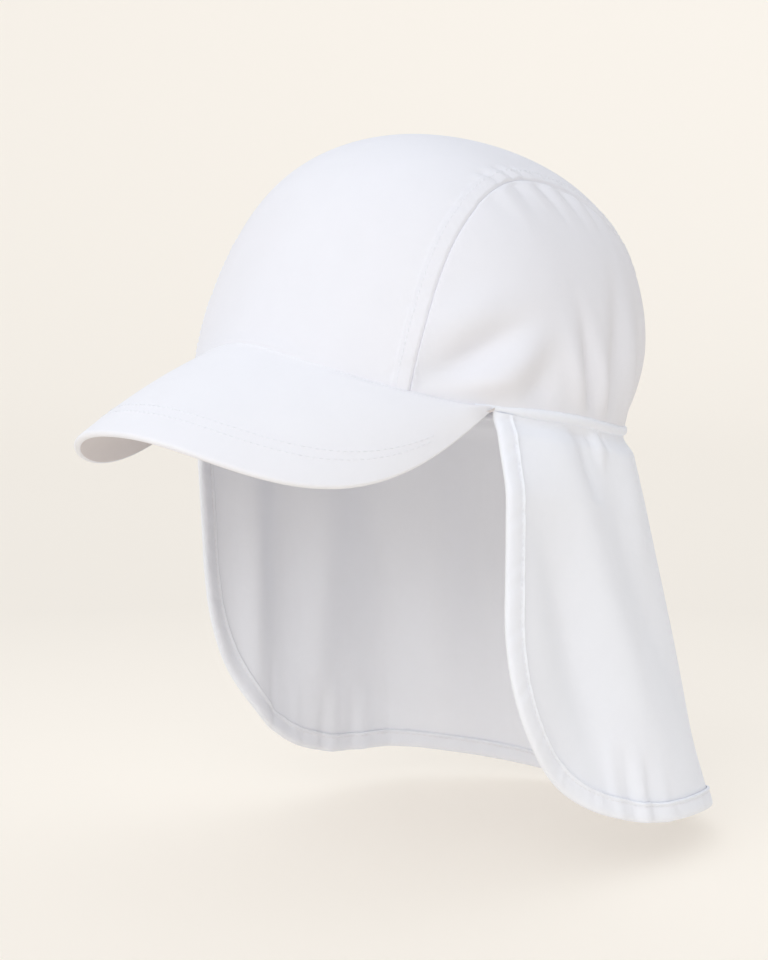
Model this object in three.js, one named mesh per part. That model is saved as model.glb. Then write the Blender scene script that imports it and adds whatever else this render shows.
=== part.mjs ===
// Legionnaire cap: a round crown of three cloth panels, a curved peak, and a long bound neck flap.
// Millimetres, +Z up. The peak points towards -Y and the wearer's left side is at +X.
// The origin is the middle of the head opening, where a head carries the cap.

import * as THREE from 'three'

// Head opening
const OPENING_HALF_WIDTH = 87
const OPENING_HALF_LENGTH = 94.5
const OPENING_FRONT_EASE = 3.5

// Levels above the middle of the opening
const RIM_FRONT_LEVEL = 25.2
const RIM_BACK_LEVEL = -18
const CROWN_TOP_LEVEL = 109

// Cloth thicknesses, and the clearance between neighbouring pieces
const CROWN_CLOTH = 1.4
const FLAP_CLOTH = 1
const BINDING_CLOTH = 0.8
const CLEARANCE = 0.3

// Peak: its ends lie on the rim at the temples, its sides dip lower than its nose
const PEAK_END_TURN = 67
const PEAK_REACH = 66
const PEAK_SIDE_DIP = 25.5
const PEAK_NOSE_DROP = 6.4
const PEAK_SQUARENESS = 2.28
const PEAK_NOSE_BULGE = 2.1
const PEAK_SIDE_BULGE = 9.5
const PEAK_THICKNESS = 3
const PEAK_LAP = 1.6
const PEAK_LAP_TURN = 9
const PEAK_LEVEL_ROOT = 0.25
const PEAK_NOSE_ROUNDING = 0.4

// Rolled welt along the rim, from one end of the peak round the back to the other
const PIPING_RADIUS = 2.3
const PIPING_END_RADIUS = 1
const PIPING_SWELL_TURN = 14

// Neck flap: it puffs out under the piping, stands off at its front edges, and flares towards the back
const FLAP_FRONT_LEVEL = -157.5
const FLAP_BACK_LEVEL = -197.5
const FLAP_BACK_FLARE = 49
const FLAP_SHOULDER = 10.5
const FLAP_SHOULDER_FALL = 0.22
const FLAP_PUFF = 2.9
const FLAP_PUFF_FALL = 0.06
const FLAP_CORNER_TURN = 33
const FLAP_CORNER_START = 0.49
const FLAP_CORNER_SQUARENESS = 2.1
const FLAP_CORNER_MARGIN = 6
const FLAP_EDGE_LEAN = 1.1
const BINDING_WIDTH = 8.5

// Depths that the fold tables take their shares of, and the climb and the fall over which folds leave the rim
const CROWN_FOLD_DEPTH = 3.2
const CROWN_FOLD_RISE_ANGLE = 9
const FLAP_FOLD_DEPTH = 4.2
const FLAP_FOLD_FALL = 0.1

// Rim height by turn from the front, as a share of the rise from the back level to the front level
const RIM_LINE = [
  { turn: 0, rise: 1 },
  { turn: 22, rise: 0.84 },
  { turn: 45, rise: 0.62 },
  { turn: 67, rise: 0.43 },
  { turn: 90, rise: 0.29 },
  { turn: 120, rise: 0.09 },
  { turn: 150, rise: 0.03 },
  { turn: 180, rise: 0 },
]

// Fullness of the crown by climb above the rim: 1 is a plain dome over the opening
const CROWN_FULLNESS = [
  { climb: 0, front: 1, side: 1, back: 1 },
  { climb: 15, front: 0.9, side: 1.045, back: 1.2 },
  { climb: 30, front: 0.86, side: 1.075, back: 1.345 },
  { climb: 45, front: 0.865, side: 1.115, back: 1.44 },
  { climb: 60, front: 0.89, side: 1.165, back: 1.495 },
  { climb: 75, front: 0.925, side: 1.2, back: 1.5 },
  { climb: 90, front: 0.965, side: 1.225, back: 1.5 },
]

// Seam between the centre panel and a side panel, in the crown's disc: along the cap and out from its middle
const SEAM_LINE = [
  { along: -0.7, out: 0.716 },
  { along: -0.5, out: 0.612 },
  { along: -0.25, out: 0.483 },
  { along: 0, out: 0.379 },
  { along: 0.3, out: 0.335 },
  { along: 0.6, out: 0.35 },
  { along: 0.97, out: 0.243 },
]

// Folds of a side panel: place and size in degrees of turn and climb, depth as a share of CROWN_FOLD_DEPTH
const CROWN_FOLDS = [
  { turn: 57, climb: 12, heading: 33, long: 16, wide: 5, depth: -0.8 },
  { turn: 64, climb: 7, heading: 33, long: 18, wide: 5, depth: 0.8 },
  { turn: 62, climb: 24, heading: 30, long: 14, wide: 6, depth: 0.45 },
  { turn: 84, climb: 24, heading: 75, long: 14, wide: 5, depth: 0.6 },
  { turn: 78, climb: 9, heading: 65, long: 10, wide: 5, depth: -0.55 },
  { turn: 100, climb: 14, heading: 95, long: 14, wide: 4, depth: -0.5 },
  { turn: 110, climb: 12, heading: 95, long: 13, wide: 4, depth: 0.4 },
  { turn: 121, climb: 20, heading: 95, long: 14, wide: 5, depth: -0.5 },
  { turn: 138, climb: 12, heading: 90, long: 14, wide: 5, depth: 0.4 },
  { turn: 152, climb: 14, heading: 90, long: 14, wide: 5, depth: -0.4 },
]

// Flap by share of the way from its front edge to the middle of the back
const FLAP_ROUND = [
  { way: 0, shoulder: 1, flare: -0.15, drop: 0 },
  { way: 0.2, shoulder: 0.3, flare: -0.09, drop: 0.16 },
  { way: 0.4, shoulder: 0.15, flare: 0.3, drop: 0.49 },
  { way: 0.6, shoulder: 0.06, flare: 0.71, drop: 0.6 },
  { way: 0.8, shoulder: 0.1, flare: 0.89, drop: 0.82 },
  { way: 1, shoulder: 0.16, flare: 1, drop: 1 },
]

// Hanging folds of the flap: turn and half width in degrees, shares of the drop, share of FLAP_FOLD_DEPTH
const FLAP_FOLDS = [
  { turn: 84, wide: 8, from: -0.1, to: 0.75, depth: 0.35 },
  { turn: 97, wide: 6, from: -0.1, to: 0.5, depth: -0.6 },
  { turn: 107, wide: 7, from: 0, to: 1.1, depth: 0.45 },
  { turn: 122, wide: 7, from: 0.1, to: 1.2, depth: -0.5 },
  { turn: 138, wide: 8, from: 0, to: 1.2, depth: 0.5 },
  { turn: 154, wide: 8, from: 0.1, to: 1.2, depth: -0.45 },
  { turn: 176, wide: 9, from: 0, to: 1.2, depth: 0.5 },
  { turn: 198, wide: 8, from: 0.1, to: 1.2, depth: -0.5 },
  { turn: 213, wide: 7, from: 0, to: 1.2, depth: 0.5 },
  { turn: 226, wide: 7, from: 0.1, to: 1.2, depth: -0.5 },
  { turn: 240, wide: 7, from: 0, to: 1.1, depth: 0.5 },
  { turn: 252, wide: 6, from: 0, to: 0.9, depth: -0.5 },
  { turn: 263, wide: 6, from: 0, to: 0.9, depth: 0.4 },
  { turn: 276, wide: 6, from: 0.1, to: 0.8, depth: -0.35 },
]

// Facets
const PEAK_SECTIONS = 36
const PEAK_ROWS = 6
const CENTRE_SECTIONS = 26
const CENTRE_COLUMNS = 14
const SIDE_SECTIONS = 24
const SIDE_ROWS = 8
const PIPING_SIDES = 10
const FLAP_UPPER_ROWS = 7
const FLAP_CORNER_ROWS = 9
const FLAP_CORNER_COLUMNS = 9
const FLAP_HEM_COLUMNS = 32

// How far a side panel's end sections stay from its points, as a share of its length, and how much the
// flap's upper rows crowd towards the rim
const SIDE_TIP = 0.012
const FLAP_ROW_CROWDING = 1.4

const FULL_TURN = Math.PI * 2
const QUARTER_TURN = Math.PI / 2
const UP = new THREE.Vector3(0, 0, 1)

const radians = THREE.MathUtils.degToRad
const lerp = THREE.MathUtils.lerp

// Shares from 0 to 1 in even steps
function shares(count) {
  return Array.from({ length: count + 1 }, (_, i) => i / count)
}

// A smooth value between the rows of a table. A level end has no slope there.
function smooth(rows, key, column, at, { levelStart = true, levelEnd = true } = {}) {
  const last = rows.length - 1
  const place = THREE.MathUtils.clamp(at, rows[0][key], rows[last][key])
  const found = rows.findIndex((row, i) => i > 0 && place <= row[key])
  const rise = (i, j) => (rows[j][column] - rows[i][column]) / (rows[j][key] - rows[i][key])
  const slope = (i) => {
    if (i === 0) return levelStart ? 0 : rise(0, 1)
    if (i === last) return levelEnd ? 0 : rise(last - 1, last)
    return rise(i - 1, i + 1)
  }
  const before = rows[found - 1]
  const after = rows[found]
  const span = after[key] - before[key]
  const share = (place - before[key]) / span
  const ease = share * share * (3 - 2 * share)
  const leave = share * (1 - share) ** 2 * span * slope(found - 1)
  const arrive = share ** 2 * (share - 1) * span * slope(found)
  return lerp(before[column], after[column], ease) + leave + arrive
}

// A turn from the front, folded to between 0 and 180 degrees
function foldedTurn(turn) {
  return Math.abs(Math.atan2(Math.sin(turn), Math.cos(turn)))
}

// The rim, by turn from the front towards the wearer's left
function rimPoint(turn) {
  const rise = smooth(RIM_LINE, 'turn', 'rise', THREE.MathUtils.radToDeg(foldedTurn(turn)))
  return new THREE.Vector3(
    (OPENING_HALF_WIDTH + OPENING_FRONT_EASE * Math.cos(turn)) * Math.sin(turn),
    -OPENING_HALF_LENGTH * Math.cos(turn),
    lerp(RIM_BACK_LEVEL, RIM_FRONT_LEVEL, rise),
  )
}

// The level direction straight out from the rim
function rimOutward(turn) {
  const across = OPENING_HALF_LENGTH * Math.sin(turn)
  const along = -OPENING_HALF_WIDTH * Math.cos(turn)
  return new THREE.Vector3(across, along, 0).normalize()
}

// The piping is thin at the ends of the peak and swells towards the back
function pipingRadius(turn) {
  const swell = THREE.MathUtils.smoothstep(
    foldedTurn(turn),
    radians(PEAK_END_TURN),
    radians(PEAK_END_TURN + PIPING_SWELL_TURN),
  )
  return lerp(PIPING_END_RADIUS, PIPING_RADIUS, swell)
}

// How far above the rim the crown's cloth ends: it laps behind the peak, and stands on the piping
// further back
function crownEdgeLift(turn) {
  const pastPeak = THREE.MathUtils.smoothstep(
    foldedTurn(turn),
    radians(PEAK_END_TURN - PEAK_LAP_TURN),
    radians(PEAK_END_TURN - PEAK_LAP_TURN / 2),
  )
  return lerp(-PEAK_LAP, pipingRadius(turn) + CLEARANCE, pastPeak)
}

// Swell of the side panels' folds at a turn and climb, in millimetres
function crownRelief(turn, climb) {
  const turnDegrees = THREE.MathUtils.radToDeg(foldedTurn(turn))
  const climbDegrees = THREE.MathUtils.radToDeg(climb)
  const swells = CROWN_FOLDS.map((fold) => {
    const heading = radians(fold.heading)
    const round = (turnDegrees - fold.turn) * Math.cos(climb)
    const up = climbDegrees - fold.climb
    const along = round * Math.cos(heading) + up * Math.sin(heading)
    const across = up * Math.cos(heading) - round * Math.sin(heading)
    return fold.depth * Math.exp(-((along / fold.long) ** 2) - (across / fold.wide) ** 2)
  })
  const clearOfRim = THREE.MathUtils.smoothstep(climbDegrees, 0, CROWN_FOLD_RISE_ANGLE)
  return CROWN_FOLD_DEPTH * clearOfRim * swells.reduce((sum, swell) => sum + swell, 0)
}

// The crown's middle surface over a unit disc: its centre is the top, its edge is the lower edge of the cloth
function crownPoint(discX, discY) {
  const turn = Math.atan2(discX, -discY)
  const rim = rimPoint(turn)
  const height = CROWN_TOP_LEVEL - rim.z
  const lowest = Math.asin(crownEdgeLift(turn) / height)
  const climb = lerp(QUARTER_TURN, lowest, Math.hypot(discX, discY))
  const full = (column) => {
    return smooth(CROWN_FULLNESS, 'climb', column, THREE.MathUtils.radToDeg(climb), { levelStart: false })
  }
  const frontShare = Math.max(Math.cos(turn), 0) ** 2
  const backShare = Math.max(-Math.cos(turn), 0) ** 2
  const sideShare = Math.sin(turn) ** 2
  const fullness = full('front') * frontShare + full('back') * backShare + full('side') * sideShare
  const out = Math.cos(climb) * fullness
  const point = new THREE.Vector3(rim.x * out, rim.y * out, rim.z + height * Math.sin(climb))
  return point.addScaledVector(rimOutward(turn), crownRelief(turn, climb) * Math.cos(climb))
}

// A surface's unit normal, from two small steps along its two directions
function surfaceNormal(surface, first, second) {
  const step = 1e-3
  const alongFirst = surface(first + step, second).sub(surface(first - step, second))
  const alongSecond = surface(first, second + step).sub(surface(first, second - step))
  return alongFirst.cross(alongSecond).normalize()
}

// A closed ring round a strip of cloth: along its upper face, and back along its lower face
function clothRing(surface, places, thickness) {
  const face = (side) => ([first, second]) => {
    const normal = surfaceNormal(surface, first, second)
    return surface(first, second).addScaledVector(normal, side * thickness / 2)
  }
  return [...places.map(face(1)), ...[...places].reverse().map(face(-1))]
}

// A solid through closed rings with equal numbers of points, each end closed by a ladder of faces
function solidThroughRings(rings) {
  const count = rings[0].length
  const index = []
  const quad = (a, b, c, d) => index.push(a, b, c, a, c, d)
  for (let ring = 0; ring + 1 < rings.length; ring += 1) {
    for (let i = 0; i < count; i += 1) {
      const here = ring * count
      const next = (i + 1) % count
      quad(here + i, here + next, here + count + next, here + count + i)
    }
  }
  const end = (rings.length - 1) * count
  for (let i = 0; i + 1 < count / 2; i += 1) {
    const across = count - 1 - i
    quad(i, across, across - 1, i + 1)
    quad(end + i, end + i + 1, end + across - 1, end + across)
  }
  const points = rings.flat()
  const geometry = new THREE.BufferGeometry().setFromPoints(points)
  geometry.setIndex(enclosedVolume(points, index) < 0 ? index.reverse() : index)
  geometry.computeVertexNormals()
  return geometry
}

// Six times the volume that the faces enclose, negative where they look inwards
function enclosedVolume(points, index) {
  let sum = 0
  for (let i = 0; i < index.length; i += 3) {
    const [a, b, c] = index.slice(i, i + 3).map((place) => points[place])
    sum += a.dot(b.clone().cross(c))
  }
  return sum
}

function clothMaterial(color, roughness) {
  return new THREE.MeshStandardMaterial({ color, roughness, metalness: 0 })
}

function mesh(name, geometry, material) {
  const piece = new THREE.Mesh(geometry, material)
  piece.name = name
  return piece
}

// A place on the seam in the crown's disc, for a share of the way from front to back
function seamPlace(way) {
  const along = lerp(SEAM_LINE[0].along, SEAM_LINE.at(-1).along, way)
  return { along, out: smooth(SEAM_LINE, 'along', 'out', along, { levelStart: false, levelEnd: false }) }
}

// The turns at which the seam meets the rim, in front and behind
function seamTurn(way) {
  const { along, out } = seamPlace(way)
  return Math.atan2(out, -along)
}

// The share of the disc that half the clearance takes beside a seam
function seamInset() {
  return CLEARANCE / 2 / OPENING_HALF_WIDTH
}

// Centre panel: from the rim over the peak, over the top, to a narrow strip at the back
function crownCentrePanel() {
  const front = seamTurn(0)
  const back = seamTurn(1)
  const rings = shares(CENTRE_SECTIONS).map((way) => {
    const seam = seamPlace(way)
    const half = seam.out - seamInset()
    const places = shares(CENTRE_COLUMNS).map((share) => {
      const side = share * 2 - 1
      const towardsFront = (1 - way) ** 2
      const towardsBack = way ** 2
      const frontX = Math.sin(front * side) - side * Math.sin(front)
      const frontY = Math.cos(front) - Math.cos(front * side)
      const backTurn = (Math.PI - back) * side
      const backX = Math.sin(backTurn) - side * Math.sin(back)
      const backY = Math.cos(backTurn) + Math.cos(back)
      return [
        half * side + frontX * towardsFront + backX * towardsBack,
        seam.along + frontY * towardsFront + backY * towardsBack,
      ]
    })
    return clothRing(crownPoint, places, CROWN_CLOTH)
  })
  return mesh('crown_centre_panel', solidThroughRings(rings), clothMaterial(0xf1f0f4, 0.85))
}

// Side panel: between the seam and the rim, pointed where they meet
function crownSidePanel(name, side) {
  const front = seamTurn(0)
  const back = seamTurn(1)
  const rings = shares(SIDE_SECTIONS).map((share) => {
    const way = lerp(SIDE_TIP, 1 - SIDE_TIP, (1 - Math.cos(share * Math.PI)) / 2)
    const seam = seamPlace(way)
    const turn = lerp(front, back, way)
    const places = shares(SIDE_ROWS).map((up) => [
      side * (lerp(Math.sin(turn), seam.out, up) + seamInset() * up),
      lerp(-Math.cos(turn), seam.along, up),
    ])
    return clothRing(crownPoint, places, CROWN_CLOTH)
  })
  return mesh(name, solidThroughRings(rings), clothMaterial(0xeceaef, 0.85))
}

// Where the peak's top face meets the outside of the crown
function peakRoot(turn) {
  return rimPoint(turn).addScaledVector(rimOutward(turn), CROWN_CLOTH / 2 + CLEARANCE)
}

// The peak's outer edge on its top face, by share from the right temple (-1) over the nose to the left (1)
function peakEdge(share) {
  const end = peakRoot(radians(PEAK_END_TURN))
  const turn = share * QUARTER_TURN
  const forward = Math.max(Math.cos(turn), 0)
  const squared = (value) => Math.sign(value) * Math.abs(value) ** (2 / PEAK_SQUARENESS)
  const fall = 2 * PEAK_SIDE_DIP * (1 + Math.sqrt(1 - PEAK_NOSE_DROP / PEAK_SIDE_DIP))
  const lift = fall - PEAK_NOSE_DROP
  return new THREE.Vector3(
    end.x * squared(Math.sin(turn)),
    end.y - (end.y + OPENING_HALF_LENGTH + PEAK_REACH) * squared(forward),
    end.z - fall * forward + lift * forward ** 2,
  )
}

// The peak's top face, from the crown (out 0) to its edge (out 1)
function peakPoint(share, out) {
  const root = peakRoot(radians(PEAK_END_TURN) * share)
  const bulge = (PEAK_NOSE_BULGE + PEAK_SIDE_BULGE * share ** 2) * Math.sqrt(Math.max(1 - share ** 2, 0))
  const point = root.lerp(peakEdge(share), out)
  point.z += 4 * out * (1 - out) * bulge
  return point
}

// Peak: one stiff curved leaf with a rounded edge, level where it meets the crown
function peak() {
  const lastSection = 0.99
  const up = (share, out) => {
    const normal = surfaceNormal(peakPoint, share, out)
    if (normal.z < 0) normal.negate()
    return UP.clone().lerp(normal, THREE.MathUtils.smoothstep(out, 0, PEAK_LEVEL_ROOT)).normalize()
  }
  const rings = shares(PEAK_SECTIONS).map((section) => {
    const share = lastSection * Math.sin((section * 2 - 1) * QUARTER_TURN)
    const outs = shares(PEAK_ROWS)
    const top = outs.map((out) => peakPoint(share, out))
    const bottom = outs.map((out) => peakPoint(share, out).addScaledVector(up(share, out), -PEAK_THICKNESS))
    const outward = top.at(-1).clone().sub(top.at(-2)).normalize()
    const nose = [0.25, 0.75].map((deep) => {
      const point = top.at(-1).clone().lerp(bottom.at(-1), deep)
      return point.addScaledVector(outward, PEAK_THICKNESS * PEAK_NOSE_ROUNDING)
    })
    return [...top, ...nose, ...bottom.reverse()]
  })
  return mesh('peak', solidThroughRings(rings), clothMaterial(0xf0eff4, 0.8))
}

// Piping: a round roll of cloth along the rim
function rimPiping() {
  const start = radians(PEAK_END_TURN)
  const rings = flapTurns(start).map((turn) => {
    return shares(PIPING_SIDES).slice(0, -1).map((round) => {
      const angle = round * FULL_TURN
      return rimPoint(turn)
        .addScaledVector(rimOutward(turn), pipingRadius(turn) * Math.cos(angle))
        .addScaledVector(UP, pipingRadius(turn) * Math.sin(angle))
    })
  })
  return mesh('rim_piping', solidThroughRings(rings), clothMaterial(0xf2f1f5, 0.85))
}

// Swell of the flap's folds, in millimetres
function flapRelief(turn, fall) {
  const turnDegrees = THREE.MathUtils.radToDeg(turn)
  const swells = FLAP_FOLDS.map((fold) => {
    const middle = (fold.from + fold.to) / 2
    const half = (fold.to - fold.from) / 2
    const along = Math.max(1 - ((fall - middle) / half) ** 2, 0)
    return fold.depth * along * Math.exp(-(((turnDegrees - fold.turn) / fold.wide) ** 2))
  })
  const clearOfRim = THREE.MathUtils.smoothstep(fall, 0, FLAP_FOLD_FALL)
  return FLAP_FOLD_DEPTH * clearOfRim * swells.reduce((sum, swell) => sum + swell, 0)
}

// The flap's middle surface, by turn and by share of its fall from the piping to the hem
function flapPoint(turn, fall) {
  const first = radians(PEAK_END_TURN)
  const way = THREE.MathUtils.clamp((foldedTurn(turn) - first) / (Math.PI - first), 0, 1)
  const share = (column) => smooth(FLAP_ROUND, 'way', column, way)
  const hem = lerp(FLAP_FRONT_LEVEL, FLAP_BACK_LEVEL, share('drop'))
  const puff = FLAP_PUFF * THREE.MathUtils.smoothstep(fall, 0, FLAP_PUFF_FALL)
  const shoulder = FLAP_SHOULDER * share('shoulder') * THREE.MathUtils.smoothstep(fall, 0, FLAP_SHOULDER_FALL)
  const flare = FLAP_BACK_FLARE * share('flare') * fall
  const point = rimPoint(turn)
  point.z = lerp(point.z - pipingRadius(turn) - CLEARANCE, hem, fall)
  return point.addScaledVector(rimOutward(turn), puff + shoulder + flare + flapRelief(turn, fall))
}

// The turn of the flap's finished front edge at a share of its fall, rounded off towards the hem
function flapEdgeTurn(fall) {
  const intoCorner = THREE.MathUtils.clamp((fall - FLAP_CORNER_START) / (1 - FLAP_CORNER_START), 0, 1)
  const power = FLAP_CORNER_SQUARENESS
  const round = 1 - Math.max(1 - intoCorner ** power, 0) ** (1 / power)
  return radians(PEAK_END_TURN + FLAP_CORNER_TURN * round + FLAP_EDGE_LEAN * fall)
}

// Falls of the flap's rows: closer together under the rim and round the corner
function flapFalls() {
  const upper = shares(FLAP_UPPER_ROWS).map((share) => FLAP_CORNER_START * share ** FLAP_ROW_CROWDING)
  const corner = shares(FLAP_CORNER_ROWS).map((share) => {
    return lerp(FLAP_CORNER_START, 1, Math.sin(share * QUARTER_TURN))
  })
  return [...upper.slice(0, -1), ...corner]
}

// Turns of the flap's columns between its two edges: even along the hem, and fanned out beside each corner
function flapTurns(edge) {
  const hemStart = flapEdgeTurn(1) + radians(FLAP_CORNER_MARGIN)
  const left = shares(FLAP_CORNER_COLUMNS).map((share) => lerp(edge, hemStart, share))
  const hem = shares(FLAP_HEM_COLUMNS).map((share) => lerp(hemStart, FULL_TURN - hemStart, share))
  const right = left.map((turn) => FULL_TURN - turn).reverse()
  return [...left, ...hem.slice(1, -1), ...right]
}

// The flap's finished outline as places: down the left edge, along the hem, up the right edge
function flapOutline() {
  const left = flapFalls().map((fall) => [flapEdgeTurn(fall), fall])
  const hem = flapTurns(flapEdgeTurn(1)).slice(1, -1).map((turn) => [turn, 1])
  const right = left.map(([turn, fall]) => [FULL_TURN - turn, fall]).reverse()
  return [...left, ...hem, ...right]
}

// The place on the flap that lies a distance in from an outline place: along the rim at the two upper ends,
// and square to the outline everywhere else
function insetPlace(outline, at, distance) {
  const [turn, fall] = outline[at]
  const step = 1e-3
  const perTurn = flapPoint(turn + step, fall).sub(flapPoint(turn - step, fall)).divideScalar(2 * step)
  if (at === 0) return [turn + distance / perTurn.length(), fall]
  if (at === outline.length - 1) return [turn - distance / perTurn.length(), fall]
  const perFall = flapPoint(turn, fall + step).sub(flapPoint(turn, fall - step)).divideScalar(2 * step)
  const along = flapPoint(...outline[at + 1]).sub(flapPoint(...outline[at - 1]))
  const inward = perFall.clone().cross(perTurn).cross(along).normalize().multiplyScalar(distance)
  const turnFall = perTurn.dot(perFall)
  const spread = perTurn.lengthSq() * perFall.lengthSq() - turnFall ** 2
  const turnStep = perTurn.dot(inward) * perFall.lengthSq() - perFall.dot(inward) * turnFall
  const fallStep = perFall.dot(inward) * perTurn.lengthSq() - perTurn.dot(inward) * turnFall
  return [turn + turnStep / spread, fall + fallStep / spread]
}

// Neck flap: one hanging cloth whose edge lies inside the fold of the binding
function neckFlap() {
  const outline = flapOutline()
  const rings = flapFalls().map((_, row) => {
    const [edge, fall] = insetPlace(outline, row, BINDING_CLOTH + CLEARANCE)
    return clothRing(flapPoint, flapTurns(edge).map((turn) => [turn, fall]), FLAP_CLOTH)
  })
  return mesh('neck_flap', solidThroughRings(rings), clothMaterial(0xe6e5ea, 0.85))
}

// Binding: a strip folded over the flap's front edges, corners and hem
function flapBinding() {
  const outline = flapOutline()
  const inner = FLAP_CLOTH / 2 + CLEARANCE
  const outer = inner + BINDING_CLOTH
  const outerHalf = [
    [BINDING_WIDTH, outer],
    [BINDING_WIDTH / 2, outer],
    [BINDING_CLOTH, outer],
    [0, outer / 2],
  ]
  const innerHalf = [
    [BINDING_CLOTH, inner / 3],
    [BINDING_CLOTH, inner],
    [BINDING_WIDTH / 2, inner],
    [BINDING_WIDTH, inner],
  ]
  const mirrored = (half) => half.map(([inset, height]) => [inset, -height]).reverse()
  const section = [...outerHalf, ...mirrored(outerHalf), ...mirrored(innerHalf), ...innerHalf]
  const rings = outline.map((_, at) => section.map(([inset, height]) => {
    const [turn, fall] = insetPlace(outline, at, inset)
    return flapPoint(turn, fall).addScaledVector(surfaceNormal(flapPoint, turn, fall), height)
  }))
  return mesh('flap_binding', solidThroughRings(rings), clothMaterial(0xf0eff3, 0.85))
}

const cap = new THREE.Group()
cap.add(crownCentrePanel())
cap.add(crownSidePanel('crown_side_panel_left', 1))
cap.add(crownSidePanel('crown_side_panel_right', -1))
cap.add(peak())
cap.add(rimPiping())
cap.add(neckFlap())
cap.add(flapBinding())

export default cap
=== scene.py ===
"""Legionnaire cap in white woven cloth: crown of three panels, stiff peak, rolled piping, bound neck flap.

Metres, +Z up. The peak points towards -Y and the wearer's left side is at +X. Turn 0 is the front.
"""

import math

import bpy
import numpy as np
from bpy.props import FloatProperty, FloatVectorProperty
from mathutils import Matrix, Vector


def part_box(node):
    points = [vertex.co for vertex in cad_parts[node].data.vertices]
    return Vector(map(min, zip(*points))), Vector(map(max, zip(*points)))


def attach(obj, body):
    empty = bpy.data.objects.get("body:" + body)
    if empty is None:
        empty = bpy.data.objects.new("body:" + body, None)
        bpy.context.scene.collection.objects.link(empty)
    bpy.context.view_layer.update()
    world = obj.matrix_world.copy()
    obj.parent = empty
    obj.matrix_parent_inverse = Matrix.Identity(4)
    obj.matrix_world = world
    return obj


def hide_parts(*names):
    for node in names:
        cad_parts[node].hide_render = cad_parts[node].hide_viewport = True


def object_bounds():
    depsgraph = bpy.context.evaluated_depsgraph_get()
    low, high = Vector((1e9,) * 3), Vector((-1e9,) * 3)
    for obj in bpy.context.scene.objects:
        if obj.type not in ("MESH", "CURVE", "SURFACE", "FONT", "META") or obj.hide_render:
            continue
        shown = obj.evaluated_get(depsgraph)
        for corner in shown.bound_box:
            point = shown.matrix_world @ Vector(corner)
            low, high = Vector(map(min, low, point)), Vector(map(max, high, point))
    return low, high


bl_info = {
    "name": "Legionnaire cap",
    "version": (1, 0, 0),
    "blender": (4, 5, 0),
    "location": "3D View > Sidebar > Cap",
    "description": "Makes the cloth, seams and binding of a legionnaire cap around its frame",
    "category": "Object",
}

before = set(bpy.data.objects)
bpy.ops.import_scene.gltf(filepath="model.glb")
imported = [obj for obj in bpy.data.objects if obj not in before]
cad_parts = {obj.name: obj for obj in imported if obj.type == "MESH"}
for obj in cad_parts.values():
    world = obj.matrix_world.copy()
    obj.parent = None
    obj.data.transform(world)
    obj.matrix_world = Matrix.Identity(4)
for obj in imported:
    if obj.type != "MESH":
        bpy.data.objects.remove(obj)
FRAME_LOW, FRAME_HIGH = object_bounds()
MM = 0.001
UP = np.array([0, 0, 1.0])


def table(columns, *rows):
    """Rows of numbers under named columns, as one array for each name."""
    return dict(zip(columns.split(), np.array(rows, float).T))


# Cloth of the frame's solids
FRAME_CROWN_CLOTH = 1.4 * MM
CLEARANCE = 0.3 * MM

# Piping
PIPING_RADIUS = 2.3 * MM
PIPING_END_RADIUS = 1.3 * MM
PIPING_SWELL_TURN = 14
PIPING_TUCK_TURN = 5
PIPING_TUCK_RADIUS = 0.9 * MM
PIPING_PUCKER = 0.035
PIPING_PUCKER_LENGTH = 7 * MM
PIPING_GRID = (620, 22)

# Head opening, from the frame's piping and crown
OPENING_HALF_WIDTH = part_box("rim_piping")[1].x - PIPING_RADIUS
OPENING_HALF_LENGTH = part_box("rim_piping")[1].y - PIPING_RADIUS
OPENING_FRONT_EASE = 3.5 * MM
RIM_FRONT_LEVEL = 25.2 * MM
RIM_BACK_LEVEL = -18 * MM
CROWN_TOP_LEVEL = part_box("crown_centre_panel")[1].z - FRAME_CROWN_CLOTH / 2

# Peak
PEAK_END_TURN = 67
PEAK_REACH = 66 * MM
PEAK_SIDE_DIP = 25.5 * MM
PEAK_NOSE_DROP = 6.4 * MM
PEAK_SQUARENESS = 2.28
PEAK_NOSE_BULGE = 2.1 * MM
PEAK_SIDE_BULGE = 9.5 * MM
PEAK_THICKNESS = 3 * MM
PEAK_LAP = 1.6 * MM
PEAK_LAP_TURN = 9
PEAK_NOSE_POINTS = 14
PEAK_TAPER_START = 0.93
PEAK_END_THICKNESS = 0.5 * MM
PEAK_NOSE_SHARE = 0.45
PEAK_MIDDLE = (0, -0.1, -1)
PEAK_LEVEL_ROOT = 0.25
PEAK_FOOT_WIDTH = 1.6 * MM
PEAK_FOOT_IN = 0.25 * MM
PEAK_FOOT_RISE = 0.7 * MM
PEAK_GRID = (301, 66)
PEAK_CLUSTER = 0.15
PEAK_LAST_SHARE = 0.9999

# Neck flap
FLAP_FRONT_LEVEL = -157.5 * MM
FLAP_BACK_LEVEL = -197.5 * MM
FLAP_BACK_FLARE = 49 * MM
FLAP_SHOULDER = 10.5 * MM
FLAP_SHOULDER_FALL = 0.22
FLAP_PUFF = 2.9 * MM
FLAP_PUFF_START = 0.014
FLAP_PUFF_FALL = 0.06
FLAP_CORNER_TURN = 33
FLAP_CORNER_START = 0.49
FLAP_CORNER_SQUARENESS = 2.1
FLAP_EDGE_LEAN = 1.1
FLAP_EDGE_INSET = 1.1 * MM
FLAP_FOLD_FALL = 0.1
FLAP_PUCKER_FALL = 0.03
FLAP_TOP_DROP = 0.6
FLAP_MIDDLE = (0, 0.02, -0.09)
FLAP_INSET_FALLS = (0.003, 1.02)
FLAP_GRID = (116, 401)
OUTLINE_SPACING = 1.15 * MM
OUTLINE_EDGE_POINTS = 2000
OUTLINE_HEM_POINTS = 3000

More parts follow.
